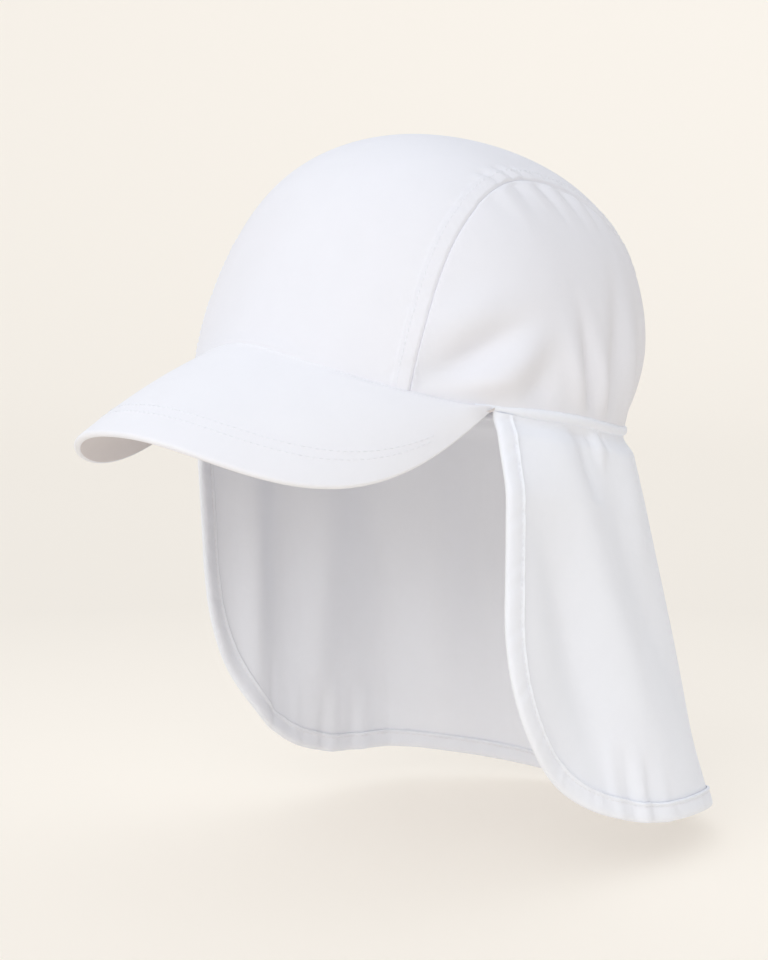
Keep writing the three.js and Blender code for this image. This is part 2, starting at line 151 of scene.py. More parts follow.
# Crown, and its lower edge beside the peak
CROWN_MIDDLE = (0, 0.01, 0.02)
CROWN_FOLD_RISE = 6
CROWN_TUCK_TURN = 3
CROWN_TUCK_LIFT = -0.2
CROWN_FOOT_FRONT = 1.7 * MM
CROWN_FOOT_SIDE = 0.1 * MM
CROWN_FOOT_HEIGHT = 3 * MM
CROWN_FOOT_START_TURN = 14
CROWN_FOOT_END_TURN = 34
CENTRE_GRID = (300, 155)
CENTRE_CLUSTER = 0.42
SIDE_GRID = (135, 341)
SIDE_CLUSTER = 0.7
SIDE_TIP = 0.003

# Seam of the crown, and the folded band beside it
SEAM_LINE_WIDTH = 0.32 * MM
SEAM_LINE_SHARE = 0.88
SEAM_ROUND_WIDTH = 2 * MM
BAND_STITCH_INSET = 1.1 * MM
BAND_STITCH_WIDTH = 0.45 * MM
BAND_STITCH_DIP = 0.22 * MM
BAND_RISE = (0.3 * MM, 1.4 * MM)
BAND_FALL = (-0.5 * MM, 0.7 * MM)
BAND_LONG_RIPPLE = 0.1
BAND_SHORT_RIPPLE = 0.06
BAND_PUCKER_RISE = 2 * MM
BAND_PUCKER_FALL = (1 * MM, 5 * MM)
GATHER_RISE = 3 * MM
GATHER_RIPPLE = 0.05 * MM
GATHER_RIPPLE_LENGTH = 6 * MM

# Rim height by turn, as a share of the rise from the back level to the front level
RIM_LINE = table(
    "turn rise",
    (0, 1), (22, 0.84), (45, 0.62), (67, 0.43), (90, 0.29), (120, 0.09), (150, 0.03), (180, 0),
)

# Fullness of the crown by climb above the rim: 1 is a plain dome over the opening
CROWN_FULLNESS = table(
    "climb front side back",
    (0, 1, 1, 1),
    (15, 0.9, 1.045, 1.2),
    (30, 0.86, 1.075, 1.345),
    (45, 0.865, 1.115, 1.44),
    (60, 0.89, 1.165, 1.495),
    (75, 0.925, 1.2, 1.5),
    (90, 0.965, 1.225, 1.5),
)

# Seam beside the centre panel, in the crown's disc
SEAM_LINE = table(
    "along out",
    (-0.7, 0.716), (-0.5, 0.612), (-0.25, 0.483), (0, 0.379), (0.3, 0.335), (0.6, 0.35), (0.97, 0.243),
)

# Folds of a side panel: degrees of turn and climb, depth as a share of the crown's fold depth
CROWN_FOLDS = table(
    "turn climb heading long wide depth",
    (63, 10.8, 30, 13, 3.4, -0.95),
    (68.5, 6.5, 30, 15, 4.4, 0.8),
    (59, 18, 30, 11, 4.5, 0.5),
    (80, 6, 62, 12, 4.8, -0.6),
    (93, 8, 104, 9, 2.8, 0.4),
    (98.5, 11, 98, 10, 2.6, -0.6),
    (105, 7, 100, 9, 2.8, 0.45),
    (113, 15, 72, 14, 4.0, -0.65),
    (122, 10, 90, 12, 4, 0.35),
    (134, 14, 90, 14, 5, -0.4),
    (146, 11, 90, 13, 5, 0.35),
    (158, 14, 90, 14, 5, -0.4),
)

# Gathers of a side panel below the seam: share of the seam's way, millimetres wide and long,
# millimetres of lean for each one down, millimetres deep
SEAM_GATHERS = table(
    "way wide long lean depth",
    (0.325, 4.0, 12, 0.1, -0.5),
    (0.352, 3.6, 15, 0.0, 0.6),
    (0.388, 3.2, 14, -0.05, -0.8),
    (0.415, 3.6, 16, 0.05, 0.8),
    (0.445, 2.8, 17, 0.1, -0.95),
    (0.472, 3.4, 13, 0.0, 0.8),
    (0.5, 2.8, 16, 0.1, -0.9),
    (0.53, 3.4, 15, 0.05, 0.7),
    (0.558, 3.0, 13, 0.0, -0.6),
    (0.59, 3.4, 14, 0.0, 0.4),
)

# Puckers across the seam's band on the centre panel: share of the seam's way, then millimetres
SEAM_PUCKERS = table(
    "way wide depth",
    (0.345, 2.6, 0.3),
    (0.362, 2.0, -0.45),
    (0.38, 2.2, 0.45),
    (0.398, 1.8, -0.5),
    (0.414, 2.2, 0.4),
    (0.432, 2.0, -0.3),
)

# Flap by share of the way from its front edge to the middle of the back
FLAP_ROUND = table(
    "way shoulder flare drop",
    (0, 1, -0.15, 0),
    (0.2, 0.3, -0.09, 0.16),
    (0.4, 0.15, 0.3, 0.49),
    (0.6, 0.06, 0.71, 0.6),
    (0.8, 0.1, 0.89, 0.82),
    (1, 0.16, 1, 1),
)

# Hanging folds of the flap: degrees of turn, of lean over the whole fall and of width,
# shares of the fall at start and end, depth as a share of the flap's fold depth
FLAP_FOLDS = table(
    "turn lean wide start end depth",
    (67, 39, 6.5, 0.05, 1.2, -0.7),
    (83, 42, 7.5, -0.3, 1.0, 0.8),
    (99, 50, 8, -0.1, 0.95, -0.7),
    (116, 12, 6, -0.2, 0.5, 0.5),
    (152, 4, 7, 0.1, 1.2, -0.3),
    (174, 0, 9, 0, 1.2, 0.5),
    (196, -2, 8, 0.1, 1.2, -0.45),
    (209, -3, 6, 0, 1.1, 0.6),
    (222, -2, 6, 0, 1.1, -0.8),
    (236.5, -3, 7, 0, 1.15, 1.05),
    (250, 4, 6.5, -0.1, 1.1, -1.2),
    (264, 4, 6, -0.1, 1.0, 1.0),
    (275.5, 2, 5, 0.05, 1.0, -0.8),
)

# Small gathers under the piping and puckers above the hem, in the same columns
FLAP_PUCKERS = table(
    "turn lean wide start end depth",
    (94.5, 20, 4.0, -0.06, 0.2, -0.75),
    (99, 20, 1.4, -0.1, 0.1, -0.3),
    (102, 20, 1.5, -0.1, 0.12, 0.3),
    (106, 20, 1.2, -0.1, 0.08, -0.25),
    (93, 12, 1.5, 0.78, 1.1, 0.22),
    (97, 12, 1.4, 0.8, 1.1, -0.25),
    (100, 12, 1.6, 0.8, 1.1, 0.25),
    (104, 10, 1.6, 0.82, 1.1, -0.2),
    (110, 8, 1.6, 0.84, 1.1, 0.2),
    (232, 0, 1.8, 0.8, 1.1, 0.2),
    (236.5, 2, 1.5, 0.8, 1.1, -0.25),
    (240, 2, 1.6, 0.8, 1.1, 0.25),
    (244, 4, 1.8, 0.78, 1.1, -0.35),
    (248, 4, 1.6, 0.8, 1.1, 0.25),
    (256, 6, 1.8, 0.8, 1.1, -0.2),
    (263, 8, 1.8, 0.74, 1.05, 0.25),
)

# Binding's outer face and its lining: distance in from the flap's finished edge and height over
# the flap's middle, in millimetres, and the inner face's share of that height past a range of insets
BINDING_PROFILE = table(
    "inset height",
    (8.7, 0.7), (8.66, 1.2), (8.45, 1.62), (8.1, 1.8), (7.7, 1.74), (7.3, 1.46), (6.9, 1.28), (6.4, 1.32),
    (5.6, 1.5), (4.6, 1.64), (3.4, 1.72), (2.2, 1.72), (1.3, 1.58), (0.65, 1.28), (0.22, 0.84), (0.03, 0.32),
)
BINDING_LINING = table("inset height", (1.0, 0.3), (1.1, 0.72), (4.5, 0.78), (8.5, 0.72))
BINDING_INSIDE_SHARE = 0.75
BINDING_INSIDE_RANGE = (2, 6)
BINDING_LONG_PUCKER = 0.12
BINDING_SHORT_PUCKER = 0.13

# Stitches: a rod's sizes, then where the rows lie on the binding (inset, height) and on the peak
STITCH_SPACING = 2.7 * MM
STITCH_LENGTH = 2.1 * MM
STITCH_RADIUS = 0.17 * MM
STITCH_RISE = 0.7
STITCH_ARCH = 1.6
STITCH_BLUNT = 0.02
STITCH_RINGS = 7
STITCH_SIDES = 6
BINDING_STITCH = (6.9, 1.28)
BINDING_STITCH_SKIP = 8
PEAK_STITCH_GRID = (300, 201)
PEAK_STITCH_ROWS = (0.76, 0.825)
PEAK_STITCH_REACH = 0.86

# Camera and studio
CAMERA_AZIMUTH = 45.6
CAMERA_ELEVATION = 6.25
CAMERA_DISTANCE = 1.06
CAMERA_LENS = 92.85
CAMERA_SENSOR = 36
CAMERA_ACROSS = -12.3 * MM
CAMERA_LEVEL = -37.1 * MM
KEY_LIGHT = {"azimuth": 18, "elevation": 36, "spread": 45}
LIFT_LIGHT = {"azimuth": -60, "elevation": 65, "spread": 150}
FRONT_LIGHT = {"azimuth": 40, "elevation": 10, "spread": 60}
LIGHT_COLOUR = (0.945, 0.967, 1.0)
FLOOR_GAP = 0.3 * MM
# Floor painted lighter near the cap: painted light over the cap's shadow
PAPER_LIGHT_POOL_RADIUS = 0.7
PAPER_PAINTED_LIGHT = 1.17
CLOTH_SHADES = (0.965, 1.03)
CLOTH_GRAIN = 2.2 * MM
CLOTH_CREASE = 14 * MM
CLOTH_BLOT = 45 * MM
THREAD_SHADES = (0.94, 1.03)
THREAD_PLY = 0.5 * MM
BACKDROP_START = 1.9
BACKDROP_RISE = 0.33
BACKDROP_RADIUS = 3.6
BACKDROP_GRID = (61, 96)
SHARP_EDGE = math.radians(55)


def lerp(a, b, share):
    """The value that lies a share of the way from a to b."""
    return a + (b - a) * share


def smoothstep(value, low, high):
    """0 below low, 1 above high, and 3s^2 - 2s^3 of the share between them."""
    share = np.clip((value - low) / (high - low), 0, 1)
    return share * share * (3 - 2 * share)


def unit(vectors):
    """Vectors divided by their lengths."""
    return vectors / np.maximum(np.linalg.norm(vectors, axis=-1, keepdims=True), 1e-12)


def bell(value, width):
    """exp(-(value / width)^2), which is 1 in the middle and small beyond the width."""
    return np.exp(-((value / width) ** 2))


def dot(first, second):
    """Dot products of two rows of vectors, as a column."""
    return np.sum(first * second, -1)[:, None]


def smooth(rows, key, column, at, level_start=True, level_end=True):
    """Cubic through a table's rows. An inner row has the slope between its neighbours, a level end none."""
    x, y = rows[key], rows[column]
    slope = np.empty_like(y)
    slope[1:-1] = (y[2:] - y[:-2]) / (x[2:] - x[:-2])
    slope[0] = 0 if level_start else (y[1] - y[0]) / (x[1] - x[0])
    slope[-1] = 0 if level_end else (y[-1] - y[-2]) / (x[-1] - x[-2])
    place = np.clip(at, x[0], x[-1])
    row = np.clip(np.searchsorted(x, place) - 1, 0, len(x) - 2)
    span = x[row + 1] - x[row]
    share = (place - x[row]) / span
    ease = share * share * (3 - 2 * share)
    leave = share * (1 - share) ** 2 * span * slope[row]
    arrive = share**2 * (share - 1) * span * slope[row + 1]
    return lerp(y[row], y[row + 1], ease) + leave + arrive


def wander(at, spacing, seed):
    """A smooth random wave of about -1 to 1: three sines whose phases come from a seeded generator."""
    waves = spacing * np.array([0.73, 1.0, 1.61])
    phases = np.random.default_rng(seed).uniform(0, 2 * np.pi, 3)
    return np.sin(2 * np.pi * at[..., None] / waves + phases).sum(-1) / 2


def folded_degrees(turn):
    """A turn folded to between 0 and 180 degrees."""
    return np.degrees(np.abs(np.arctan2(np.sin(turn), np.cos(turn))))


def rim_point(turn):
    """The rim at a turn: an oval of half width W + ease cos t and half length L, at RIM_LINE's height."""
    width = OPENING_HALF_WIDTH + OPENING_FRONT_EASE * np.cos(turn)
    rise = smooth(RIM_LINE, "turn", "rise", folded_degrees(turn))
    level = lerp(RIM_BACK_LEVEL, RIM_FRONT_LEVEL, rise)
    return np.stack([width * np.sin(turn), -OPENING_HALF_LENGTH * np.cos(turn), level], -1)


def rim_outward(turn):
    """The level unit vector straight out from the oval (W sin t, -L cos t)."""
    across = OPENING_HALF_LENGTH * np.sin(turn)
    along = -OPENING_HALF_WIDTH * np.cos(turn)
    return unit(np.stack([across, along, np.zeros_like(turn)], -1))


def piping_radius(turn):
    """Thin where it is tucked behind the peak's ends, and full a few degrees further back."""
    degrees = folded_degrees(turn)
    leave = smoothstep(degrees, PEAK_END_TURN - PIPING_TUCK_TURN, PEAK_END_TURN)
    swell = smoothstep(degrees, PEAK_END_TURN, PEAK_END_TURN + PIPING_SWELL_TURN)
    return lerp(lerp(PIPING_TUCK_RADIUS, PIPING_END_RADIUS, leave), PIPING_RADIUS, swell)


def crown_edge_lift(turn):
    """Height of the crown's lower edge over the rim: below it at the peak, inside the piping elsewhere."""
    past_peak = smoothstep(folded_degrees(turn), PEAK_END_TURN, PEAK_END_TURN + CROWN_TUCK_TURN)
    return lerp(-PEAK_LAP, CROWN_TUCK_LIFT * piping_radius(turn), past_peak)


def crown_relief(turn, climb):
    """Sum over the folds of depth exp(-(along/long)^2 - (across/wide)^2), faded out towards the rim."""
    climb_degrees = np.degrees(climb)
    fold = CROWN_FOLDS
    heading = np.radians(fold["heading"])
    round_ = (folded_degrees(turn)[..., None] - fold["turn"]) * np.cos(climb)[..., None]
    up = climb_degrees[..., None] - fold["climb"]
    along = round_ * np.cos(heading) + up * np.sin(heading)
    across = up * np.cos(heading) - round_ * np.sin(heading)
    swells = fold["depth"] * np.exp(-((along / fold["long"]) ** 2) - (across / fold["wide"]) ** 2)
    return swells.sum(-1) * smoothstep(climb_degrees, 0, CROWN_FOLD_RISE)


def crown_point(disc_x, disc_y, depth):
    """Crown over a unit disc: rim cos(climb) fullness, raised by height sin(climb), swelled by the folds."""
    turn = np.arctan2(disc_x, -disc_y)
    rim = rim_point(turn)
    height = CROWN_TOP_LEVEL - rim[..., 2]
    lowest = np.arcsin(crown_edge_lift(turn) / height)
    climb = lerp(np.pi / 2, lowest, np.hypot(disc_x, disc_y))
    full = {
        side: smooth(CROWN_FULLNESS, "climb", side, np.degrees(climb), level_start=False)
        for side in ("front", "side", "back")
    }
    fullness = (
        full["front"] * np.maximum(np.cos(turn), 0) ** 2
        + full["back"] * np.maximum(-np.cos(turn), 0) ** 2
        + full["side"] * np.sin(turn) ** 2
    )
    out = np.cos(climb) * fullness
    level = rim[..., 2] + height * np.sin(climb)
    swell = depth * crown_relief(turn, climb) * np.cos(climb)
    point = np.stack([rim[..., 0] * out, rim[..., 1] * out, level], -1)
    return point + rim_outward(turn) * swell[..., None]


def seam_place(way):
    """The seam in the crown's disc at a share of the way from front to back."""
    along = lerp(SEAM_LINE["along"][0], SEAM_LINE["along"][-1], way)
    return along, smooth(SEAM_LINE, "along", "out", along, level_start=False, level_end=False)


SEAM_FRONT_TURN, SEAM_BACK_TURN = (
    math.atan2(SEAM_LINE["out"][end], -SEAM_LINE["along"][end]) for end in (0, -1)
)


def grid_normals(points, middle):
    """Unit normals of a grid, the cross product of its two steps, turned away from a middle point."""
    normals = unit(np.cross(np.gradient(points, axis=0), np.gradient(points, axis=1)))
    away = np.sum(normals * (points - np.asarray(middle)))
    return normals if away > 0 else -normals


def lengths(points, axis):
    """Length run along each line of a grid, from its start."""
    steps = np.linalg.norm(np.diff(points, axis=axis), axis=-1)
    start = np.zeros_like(np.take(steps, [0], axis=axis))
    return np.concatenate([start, np.cumsum(steps, axis=axis)], axis=axis)


def cloth_map(points):
    """Cloth coordinates in metres: length along each row from its middle, and down each column."""
    across = lengths(points, 1)
    middle = across[:, across.shape[1] // 2, None]
    return np.stack([across - middle, lengths(points, 0)], -1)


def grid_quads(rows, columns, closed=False):
    """Corner numbers of the faces between the points of a grid, whose rows may be closed to rings."""
    number = np.arange(rows * columns).reshape(rows, columns)
    if closed:
        number = np.concatenate([number, number[:, :1]], axis=1)
    corners = (number[:-1, :-1], number[:-1, 1:], number[1:, 1:], number[1:, :-1])
    return np.stack(corners, -1).reshape(-1, 4)


def border(rows, columns):
    """Point numbers once round the edge of a grid."""
    number = np.arange(rows * columns).reshape(rows, columns)
    return np.concatenate([number[0, :-1], number[:-1, -1], number[-1, :0:-1], number[:0:-1, 0]])


def enclosed_volume(points, quads):
    """Six times the volume inside the faces, negative where they look inwards."""
    a, b, c, d = (points[quads[:, corner]] for corner in range(4))
    return np.sum(a * np.cross(b, c)) + np.sum(a * np.cross(c, d))


def add_object(name, data):
    """A new object in the scene."""
    made = bpy.data.objects.new(name, data)
    bpy.context.scene.collection.objects.link(made)
    return made


def make_piece(name, points, quads, cloth, material, ends=()):
    """A mesh object from points, four-sided faces and cloth coordinates, riding on the cap."""
    if enclosed_volume(points, quads) < 0:
        quads = quads[:, ::-1]
        ends = [end[::-1] for end in ends]
    mesh = bpy.data.meshes.new(name)
    mesh.from_pydata(points.tolist(), [], quads.tolist() + [end.tolist() for end in ends])
    mesh.update()
    layer = mesh.uv_layers.new(name="Cloth")
    corners = np.empty(len(mesh.loops), np.int32)
    mesh.loops.foreach_get("vertex_index", corners)
    layer.data.foreach_set("uv", cloth[corners].astype(np.float32).ravel())
    mesh.shade_smooth()
    mesh.set_sharp_from_angle(angle=SHARP_EDGE)
    mesh.materials.append(material)
    piece = add_object(name, mesh)
    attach(piece, "root")
    return piece


def cloth_shell(name, outer, thickness, middle, material):
    """A closed cloth from its outer face: the inner one lies a thickness behind, and a strip joins them."""
    rows, columns = outer.shape[:2]
    inner = outer - grid_normals(outer, middle) * thickness
    count = rows * columns
    edge = border(rows, columns)
    after = np.roll(edge, -1)
    strip = np.stack([edge, edge + count, after + count, after], -1)
    face = grid_quads(rows, columns)
    faces = [face, face[:, ::-1] + count, strip]
    points = np.concatenate([outer.reshape(-1, 3), inner.reshape(-1, 3)])
    cloth = np.tile(cloth_map(outer).reshape(-1, 2), (2, 1))
    return make_piece(name, points, np.concatenate(faces), cloth, material)


def swept_loop(name, rings, material, lower_layer=None, lower_layer_from=0):
    """A closed solid through rings of points, each end closed by one face, with a second material from one
    ring point on.
    """
    count, around = rings.shape[:2]
    quads = grid_quads(count, around, closed=True)
    closed = np.concatenate([rings, rings[:, :1]], axis=1)
    cloth = cloth_map(closed)[:, :-1].reshape(-1, 2)
    end = np.arange(around)
    ends = [end[::-1], end + (count - 1) * around]
    piece = make_piece(name, rings.reshape(-1, 3), quads, cloth, material, ends)
    if lower_layer:
        piece.data.materials.append(lower_layer)
        underside_faces = np.zeros(len(piece.data.polygons), np.int32)
        underside_faces[: len(quads)] = np.tile(np.arange(around) >= lower_layer_from, count - 1)
        piece.data.polygons.foreach_set("material_index", underside_faces)
    return piece


def seam_groove(distance, depth):
    """Dip of a panel at its seam: -depth (share exp(-d / line) + rest exp(-(d / round)^2))."""
    line = SEAM_LINE_SHARE * np.exp(-distance / SEAM_LINE_WIDTH)
    rounded = (1 - SEAM_LINE_SHARE) * bell(distance, SEAM_ROUND_WIDTH)
    return -depth * (line + rounded)


def crown_foot(points):
    """Swell of the crown's cloth where it turns out on to the peak: broad in front and thin beside it."""
    turn = np.arctan2(points[..., 0] / OPENING_HALF_WIDTH, -points[..., 1] / OPENING_HALF_LENGTH)
    height = points[..., 2] - rim_point(turn)[..., 2]
    side = smoothstep(folded_degrees(turn), CROWN_FOOT_START_TURN, CROWN_FOOT_END_TURN)
    past_peak = smoothstep(folded_degrees(turn), PEAK_END_TURN - PEAK_LAP_TURN, PEAK_END_TURN)
    swell = lerp(CROWN_FOOT_FRONT, CROWN_FOOT_SIDE, side) * (1 - past_peak)
    return swell * np.exp(-((np.maximum(height, 0) / CROWN_FOOT_HEIGHT) ** 1.5))


def seam_band(distance, beside, sizes):
    """Folded band beside the seam: raised, with a stitched dip along its far side, puckers and a ripple."""
    far = distance - sizes.band_width
    raised = smoothstep(distance, *BAND_RISE) * (1 - smoothstep(far, *BAND_FALL))
    stitched = bell(far + BAND_STITCH_INSET, BAND_STITCH_WIDTH) * raised
    away = beside[..., None] - SEAM_PUCKERS["way"] * beside[-1, 0]
    puckers = (SEAM_PUCKERS["depth"] * bell(away, SEAM_PUCKERS["wide"] * MM)).sum(-1)
    long_wave = wander(beside + 0.6 * distance, 9 * MM, seed=4)
    short_wave = wander(beside - distance, 4 * MM, seed=14)
    ripple = BAND_LONG_RIPPLE * long_wave + BAND_SHORT_RIPPLE * short_wave
    reach = smoothstep(distance, 0, BAND_PUCKER_RISE) * (1 - smoothstep(far, *BAND_PUCKER_FALL))
    return raised * sizes.band_height - stitched * BAND_STITCH_DIP + reach * (puckers + ripple) * MM


def panel_face(points, distance, relief, sizes):
    """A crown panel's outer face: raised by half the cloth, the seam's dip, a relief and the foot."""
    lift = seam_groove(distance, sizes.seam_depth) + relief
    lift = FRAME_CROWN_CLOTH / 2 + lift + crown_foot(points)
    return points + grid_normals(points, CROWN_MIDDLE) * lift[..., None]


def centre_panel_points(sizes):
    """Centre panel over (way, side): across the seam's half width, rounded to the rim at front and back."""
    way = np.linspace(0, 1, CENTRE_GRID[0])[:, None]
    even = np.linspace(-1, 1, CENTRE_GRID[1])[None, :]
    side = even * (1 + CENTRE_CLUSTER - CENTRE_CLUSTER * even**2)
    along, out = seam_place(way)
    to_front = (1 - way) ** 2
    to_back = way**2
    front, back = SEAM_FRONT_TURN, np.pi - SEAM_BACK_TURN
    disc_x = (
        out * side
        + (np.sin(front * side) - side * np.sin(front)) * to_front
        + (np.sin(back * side) - side * np.sin(back)) * to_back
    )
    disc_y = (
        along
        + (np.cos(front) - np.cos(front * side)) * to_front
        + (np.cos(back * side) - np.cos(back)) * to_back
    )
    points = crown_point(disc_x, disc_y, sizes.crown_fold_depth)
    run = lengths(points, 1)
    distance = np.minimum(run, run[:, -1:] - run)
    edges = lengths(points, 0)
    beside = np.where(side < 0, edges[:, :1], edges[:, -1:])
    return panel_face(points, distance, seam_band(distance, beside, sizes), sizes)


def side_panel_points(side, sizes):
    """Side panel over (up, way): from the rim at a turn to the seam at the same share of the way."""
    share = np.linspace(0, 1, SIDE_GRID[1])[None, :]
    way = lerp(SIDE_TIP, 1 - SIDE_TIP, (1 - np.cos(share * np.pi)) / 2)
    even = np.linspace(0, 1, SIDE_GRID[0])[:, None]
    up = even * (1 + SIDE_CLUSTER - SIDE_CLUSTER * even)
    turn = lerp(SEAM_FRONT_TURN, SEAM_BACK_TURN, way)
    along, out = seam_place(way)
    points = crown_point(
        side * lerp(np.sin(turn), out, up), lerp(-np.cos(turn), along, up), sizes.crown_fold_depth
    )
    run = lengths(points, 0)
    distance = run[-1:] - run
    beside = np.broadcast_to(lengths(points, 1)[-1:], distance.shape)
    gather = SEAM_GATHERS
    lean = gather["lean"] * distance[..., None]
    away = beside[..., None] - gather["way"] * beside[0, -1] - lean
    fade = bell(distance[..., None], gather["long"] * MM)
    swell = (gather["depth"] * bell(away, gather["wide"] * MM) * fade).sum(-1) * MM
    ripple = GATHER_RIPPLE * wander(beside, GATHER_RIPPLE_LENGTH, seed=8)
    ripple = ripple * bell(distance, GATHER_RIPPLE_LENGTH)
    relief = (swell + ripple) * smoothstep(distance, 0, GATHER_RISE)
    return panel_face(points, distance, relief, sizes)


def peak_root(turn):
    """Where the peak's top face meets the outside of the crown."""
    return rim_point(turn) + rim_outward(turn) * (FRAME_CROWN_CLOTH / 2 + CLEARANCE)


def squared(value):
    """A sine or cosine with the exponent that squares an oval."""
    return np.sign(value) * np.abs(value) ** (2 / PEAK_SQUARENESS)


def peak_edge(share):
    """The peak's outer edge: a squared oval in plan, whose sides dip lower than its nose."""
    end = peak_root(np.radians(PEAK_END_TURN))
    turn = share * np.pi / 2
    forward = np.maximum(np.cos(turn), 0)
    fall = 2 * PEAK_SIDE_DIP * (1 + math.sqrt(1 - PEAK_NOSE_DROP / PEAK_SIDE_DIP))
    lift = fall - PEAK_NOSE_DROP
    across = end[0] * squared(np.sin(turn))
    along = end[1] - (end[1] + OPENING_HALF_LENGTH + PEAK_REACH) * squared(forward)
    return np.stack([across, along, end[2] - fall * forward + lift * forward**2], -1)


def peak_top(share, out):
    """Top face: straight from the crown (out 0) to the peak's edge (out 1), raised 4 out (1 - out) bulge."""
    root = peak_root(np.radians(PEAK_END_TURN) * share)
    bulge = (PEAK_NOSE_BULGE + PEAK_SIDE_BULGE * share**2) * np.sqrt(np.maximum(1 - share**2, 0))
    point = lerp(root, peak_edge(share), out[..., None])
    point[..., 2] += 4 * out * (1 - out) * bulge
    return point


def peak_rings():
    """Rings round the peak's leaf: top face out to the edge, half a circle round it, underside back.

    At its foot the top face rises in front and dips beside, by foot exp(-(run / width)^2).
    """
    share = PEAK_LAST_SHARE * np.sin(np.linspace(-1, 1, PEAK_GRID[0]) * np.pi / 2)[:, None]
    even = np.linspace(0, 1, PEAK_GRID[1])[None, :]
    out = even * (1 + PEAK_CLUSTER - PEAK_CLUSTER * even)
    share, out = np.broadcast_arrays(share, out)
    top = peak_top(share, out)
    normals = grid_normals(top, PEAK_MIDDLE)
    level_root = smoothstep(out, 0, PEAK_LEVEL_ROOT)[..., None]
    down = -unit(lerp(UP, normals, level_root))
    run = lengths(top, 1)
    foot = bell(run, PEAK_FOOT_WIDTH)[..., None]
    turn = np.abs(share) * PEAK_END_TURN
    beside = smoothstep(turn, CROWN_FOOT_START_TURN, CROWN_FOOT_END_TURN)[..., None]
    root_out = rim_outward(np.radians(PEAK_END_TURN) * share)
    past_start = np.maximum(np.abs(share) - PEAK_TAPER_START, 0) / (1 - PEAK_TAPER_START)
    taper = np.sqrt(np.maximum(1 - past_start**2, 0))
    thickness = lerp(PEAK_END_THICKNESS, PEAK_THICKNESS, taper)[..., None]
    under = top + down * thickness
    top = top - root_out * foot * PEAK_FOOT_IN + UP * foot * lerp(PEAK_FOOT_RISE, -PEAK_FOOT_RISE, beside)
    outward = unit(top[:, -1] - top[:, -2])[:, None]
    angle = np.linspace(np.pi / 2, -np.pi / 2, PEAK_NOSE_POINTS + 2)[None, 1:-1, None]
    middle = (top[:, -1:] + under[:, -1:]) / 2
    half = (top[:, -1:] - under[:, -1:]) / 2
    nose = middle + half * np.sin(angle) + outward * np.cos(angle) * thickness[:, -1:] * PEAK_NOSE_SHARE
    return np.concatenate([top, nose, under[:, ::-1]], axis=1)


def piping_rings():
    """Rings along the rim from one peak end to the other: radius r(t), puckered by a random wave."""
    start = np.radians(PEAK_END_TURN - PIPING_TUCK_TURN)
    turn = np.linspace(start, 2 * np.pi - start, PIPING_GRID[0])[:, None]
    angle = np.linspace(np.pi, 3 * np.pi, PIPING_GRID[1], endpoint=False)[None, :]
    turn, angle = np.broadcast_arrays(turn, angle)
    run = turn * OPENING_HALF_LENGTH
    pucker = wander(run + angle * 1.5 * MM, PIPING_PUCKER_LENGTH, seed=9)
    radius = piping_radius(turn) * (1 + PIPING_PUCKER * pucker)
    out, up = (radius * way(angle) for way in (np.cos, np.sin))
    return rim_point(turn) + rim_outward(turn) * out[..., None] + UP * up[..., None]


def fold_swells(rows, turn, fall):
    """Sum over the folds of depth along exp(-((t - turn - lean fall) / wide)^2).

    Along is 1 - ((fall - middle) / half)^2 from a fold's start to its end, and 0 elsewhere.
    """
    degrees = np.degrees(turn)[..., None] - rows["lean"] * fall[..., None]
    middle = (rows["start"] + rows["end"]) / 2
    half = (rows["end"] - rows["start"]) / 2
    along = np.maximum(1 - ((fall[..., None] - middle) / half) ** 2, 0)
    return (rows["depth"] * along * bell(degrees - rows["turn"], rows["wide"])).sum(-1)


def flap_point(turn, fall, depth):
    """Flap by turn and share of its fall: rim + outward (shoulder + flare fall + folds), down to the hem."""
    way = np.clip((folded_degrees(turn) - PEAK_END_TURN) / (180 - PEAK_END_TURN), 0, 1)
    columns = ("drop", "shoulder", "flare")
    drop, shoulder, flare = (smooth(FLAP_ROUND, "way", column, way) for column in columns)
    hem = lerp(FLAP_FRONT_LEVEL, FLAP_BACK_LEVEL, drop)
    puff = FLAP_PUFF * smoothstep(fall, FLAP_PUFF_START, FLAP_PUFF_FALL)
    shoulder = FLAP_SHOULDER * shoulder * smoothstep(fall, 0, FLAP_SHOULDER_FALL)
    flare = FLAP_BACK_FLARE * flare * fall
    folds = depth * fold_swells(FLAP_FOLDS, turn, fall) * smoothstep(fall, 0, FLAP_FOLD_FALL)
    puckers = depth * fold_swells(FLAP_PUCKERS, turn, fall) * smoothstep(fall, 0, FLAP_PUCKER_FALL)
    rim = rim_point(turn)
    point = rim + rim_outward(turn) * (puff + shoulder + flare + (folds + puckers))[..., None]
    point[..., 2] = lerp(rim[..., 2] - FLAP_TOP_DROP * piping_radius(turn), hem, fall)
    return point


def flap_edge_turn(fall):
    """Turn of the flap's finished front edge, rounded off below the corner's start by a superellipse."""
    into = np.clip((fall - FLAP_CORNER_START) / (1 - FLAP_CORNER_START), 0, 1)
    power = FLAP_CORNER_SQUARENESS
    round_ = 1 - np.maximum(1 - into**power, 0) ** (1 / power)
    return np.radians(PEAK_END_TURN + FLAP_CORNER_TURN * round_ + FLAP_EDGE_LEAN * fall)


def flap_outline(depth):
    """Places (turn, fall) at even spacing down the left edge, along the hem and up the right edge."""
    fall = np.sin(np.linspace(0, 1, OUTLINE_EDGE_POINTS) * np.pi / 2)
    edge = flap_edge_turn(fall)
    hem = np.linspace(edge[-1], 2 * np.pi - edge[-1], OUTLINE_HEM_POINTS)[1:-1]
    turns = np.concatenate([edge, hem, 2 * np.pi - edge[::-1]])
    falls = np.concatenate([fall, np.ones_like(hem), fall[::-1]])
    run = lengths(flap_point(turns, falls, depth)[None], 1)[0]
    even = np.linspace(0, run[-1], int(run[-1] / OUTLINE_SPACING))
    return np.interp(even, run, turns), np.interp(even, run, falls), even


